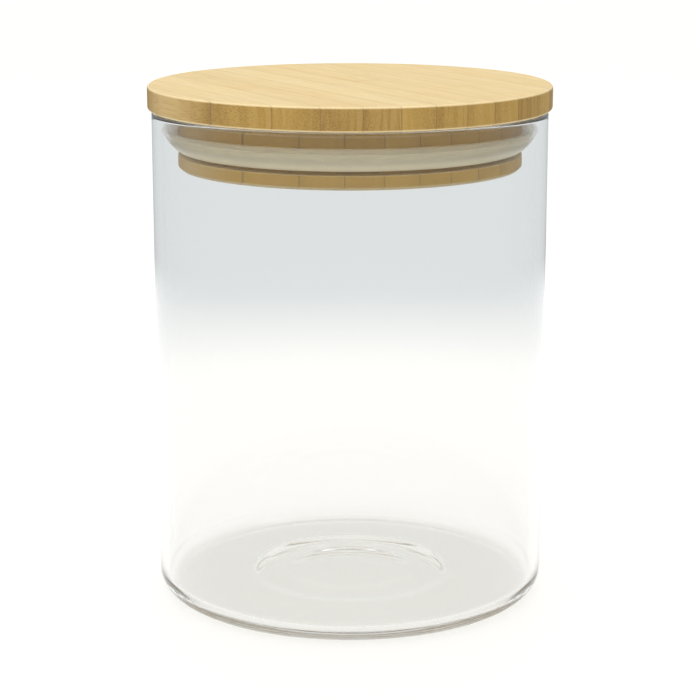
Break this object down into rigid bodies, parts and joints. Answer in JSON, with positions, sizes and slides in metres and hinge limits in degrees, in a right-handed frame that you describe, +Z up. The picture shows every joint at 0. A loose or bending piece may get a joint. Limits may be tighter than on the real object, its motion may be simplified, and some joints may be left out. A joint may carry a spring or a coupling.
{
  "type": "lidded glass canister",
  "caption": "Straight-sided glass storage jar with a turned laminated bamboo lid whose grooved plug carries a flared silicone lip seal.",
  "frame": {"origin": "on the surface the jar stands on, at the jar's axis", "axes": "+Z up along the jar's axis, towards the lid; +Y along the bamboo strips; +X across them"},
  "size_m": [0.102, 0.102, 0.1315],
  "materials": {
    "glass": "clear blown soda-lime glass with a fire-polished rim",
    "silicone": "milky translucent silicone, satin",
    "bamboo": "fine-sanded edge-glued bamboo, clear matt oil"
  },
  "bodies": {
    "jar": {"glass_jar": "glass"},
    "seal": {"silicone_seal": "silicone"},
    "lid": {"lid_strip_01": "bamboo", "lid_strip_02": "bamboo", "lid_strip_03": "bamboo", "lid_strip_04": "bamboo", "lid_strip_05": "bamboo", "lid_strip_06": "bamboo", "lid_strip_07": "bamboo", "lid_strip_08": "bamboo", "lid_strip_09": "bamboo", "lid_strip_10": "bamboo", "lid_strip_11": "bamboo", "lid_strip_12": "bamboo", "lid_strip_13": "bamboo"}
  },
  "joints": [
    {"name": "lid_lift", "type": "slide", "parent": "jar", "child": "seal", "axis": [0, 0, 1], "range_m": [0, 0.12]},
    {"name": "lid_turn", "type": "hinge", "parent": "seal", "child": "lid", "pos_m": [0, 0, 0.1255], "axis": [0, 0, 1], "continuous": true}
  ]
}
